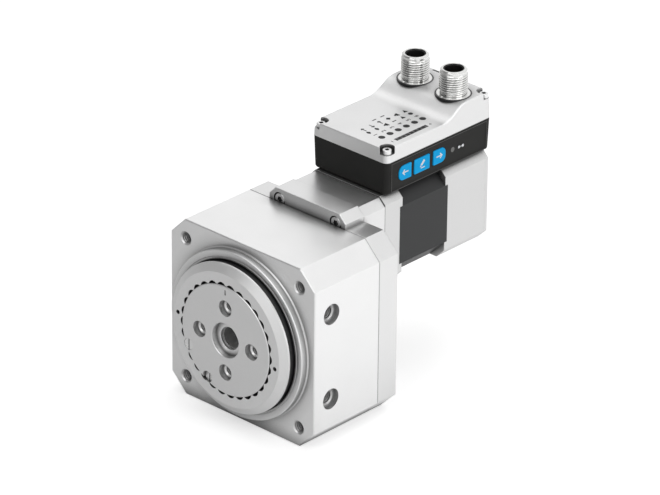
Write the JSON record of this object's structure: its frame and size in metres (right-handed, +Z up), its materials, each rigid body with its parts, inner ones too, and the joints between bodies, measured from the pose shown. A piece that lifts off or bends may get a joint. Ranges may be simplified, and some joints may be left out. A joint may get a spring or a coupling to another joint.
{
  "type": "electric rotary actuator",
  "caption": "Electric rotary actuator: square gear housing with turning output plate, offset stepper motor and controller with keys and round connectors.",
  "frame": {"origin": "where the output axis meets the front mounting face of the gear housing", "axes": "+Y along the output axis from the output plate towards the motor, +Z up, +X to the right"},
  "size_m": [0.08, 0.136, 0.1232],
  "materials": {
    "housing_aluminium": "anodised, fine matt",
    "output_steel": "turned and ground steel",
    "bearing_steel": "hardened and ground",
    "cage_brass": "machined brass",
    "gear_steel": "cut and hardened",
    "screw_steel": "zinc plated",
    "seal_rubber": "black nitrile rubber",
    "stator_black": "black lacquered laminations",
    "winding_copper": "enamelled copper",
    "magnet_grey": "plated magnet",
    "board_green": "glass fibre board",
    "base_black": "fine textured black plastic",
    "cover_silver": "die cast, silver lacquer",
    "key_blue": "smooth blue plastic",
    "window_smoke": "smoked clear plastic",
    "lens_clear": "clear light guide",
    "connector_nickel": "nickel plated brass",
    "insert_black": "black moulded plastic",
    "pin_gold": "gold plated contact"
  },
  "bodies": {
    "housing": {"gear_housing": "housing_aluminium", "rear_cover": "housing_aluminium", "motor_adapter": "housing_aluminium", "dust_seal": "seal_rubber", "bearing_retainer": "output_steel", "bearing_outer_rings": "bearing_steel", "tail_bearing_outer": "bearing_steel", "end_stop_segment": "output_steel", "stop_buffers": "seal_rubber", "motor_front_flange": "housing_aluminium", "stator_stack": "stator_black", "stator_windings": "winding_copper", "motor_rear_housing": "housing_aluminium", "motor_end_cap": "housing_aluminium", "motor_bearing_outers": "bearing_steel", "encoder_board": "board_green", "cover_plate_screws": "screw_steel", "motor_mount_screws": "screw_steel", "motor_through_bolts": "screw_steel", "controller_base": "base_black", "controller_cover": "cover_silver", "cover_gasket": "seal_rubber", "cover_screws": "screw_steel", "base_screws": "screw_steel", "circuit_board": "board_green", "board_screws": "screw_steel", "motor_plug": "base_black", "key_board": "board_green", "indicator_windows": "window_smoke", "bar_window": "window_smoke", "status_lens": "lens_clear", "power_connector_shell": "connector_nickel", "power_connector_insert": "insert_black", "power_connector_pins": "pin_gold", "signal_connector_shell": "connector_nickel", "signal_connector_insert": "insert_black", "signal_connector_pins": "pin_gold", "connector_seals": "seal_rubber"},
    "output": {"output_hub": "output_steel", "clamp_ring": "output_steel", "lock_screws": "screw_steel", "output_gear": "gear_steel", "gear_screws": "screw_steel", "bearing_inner_rings": "bearing_steel", "tail_bearing_inner": "bearing_steel"},
    "bearing_cage": {"bearing_balls": "bearing_steel", "bearing_cages": "cage_brass"},
    "rotor": {"motor_shaft": "gear_steel", "rotor_core": "stator_black", "pinion": "gear_steel", "motor_bearing_inners": "bearing_steel", "encoder_magnet": "magnet_grey"},
    "left_key": {"left_key": "key_blue"},
    "middle_key": {"middle_key": "key_blue"},
    "right_key": {"right_key": "key_blue"}
  },
  "joints": [
    {"name": "output_turn", "type": "hinge", "parent": "housing", "child": "output", "pos_m": [0, 0, 0], "axis": [0, 1, 0], "range_deg": [-90, 90]},
    {"name": "rotor_spin", "type": "hinge", "parent": "housing", "child": "rotor", "pos_m": [0, 0.08, 0.0255], "axis": [0, 1, 0], "range_deg": [-523, 523]},
    {"name": "cage_turn", "type": "hinge", "parent": "housing", "child": "bearing_cage", "pos_m": [0, 0, 0], "axis": [0, 1, 0], "range_deg": [-42.1, 42.1]},
    {"name": "left_key_press", "type": "slide", "parent": "housing", "child": "left_key", "axis": [-1, 0, 0], "range_m": [0, 0.0004], "stiffness_N_per_m": 1000},
    {"name": "middle_key_press", "type": "slide", "parent": "housing", "child": "middle_key", "axis": [-1, 0, 0], "range_m": [0, 0.0004], "stiffness_N_per_m": 1000},
    {"name": "right_key_press", "type": "slide", "parent": "housing", "child": "right_key", "axis": [-1, 0, 0], "range_m": [0, 0.0004], "stiffness_N_per_m": 1000}
  ],
  "couplings": [
    {"joint": "rotor_spin", "follows": "output_turn", "ratio": -5.8},
    {"joint": "cage_turn", "follows": "output_turn", "ratio": 0.4652}
  ]
}
